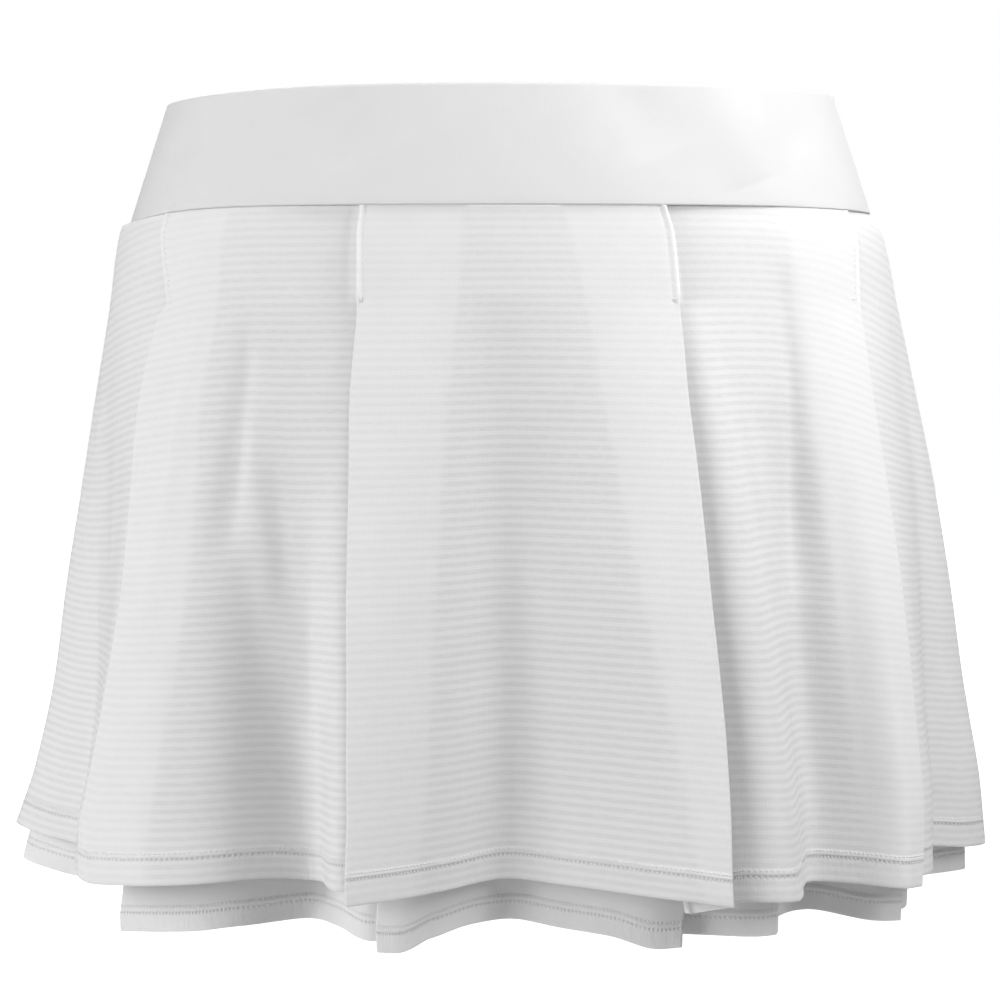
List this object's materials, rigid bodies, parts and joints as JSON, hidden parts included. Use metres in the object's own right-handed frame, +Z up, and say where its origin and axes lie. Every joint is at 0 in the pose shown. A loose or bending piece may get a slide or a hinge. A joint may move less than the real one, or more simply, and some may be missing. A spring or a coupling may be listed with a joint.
{
  "type": "tennis skirt",
  "caption": "Short flared tennis skirt with a smooth wide yoke, a sheer striped pleated outer layer and a longer plain pleated under layer, hollow as when worn.",
  "frame": {"origin": "centre of the waist opening in the plane of the yoke's top edge, where the skirt is held when worn", "axes": "+Z up out of the waist, -Y to the wearer's front, +X to the wearer's left"},
  "size_m": [0.4149, 0.3217, 0.3384],
  "materials": {
    "yoke_knit": "fine smooth knit, soft satin",
    "striped_cloth": "sheer cloth with narrow level shadow stripes",
    "plain_cloth": "plain matt opaque knit"
  },
  "bodies": {
    "root": {"yoke_front": "yoke_knit", "yoke_back": "yoke_knit", "outer_front": "striped_cloth", "outer_back": "striped_cloth", "under_front": "plain_cloth", "under_back": "plain_cloth"}
  },
  "joints": []
}
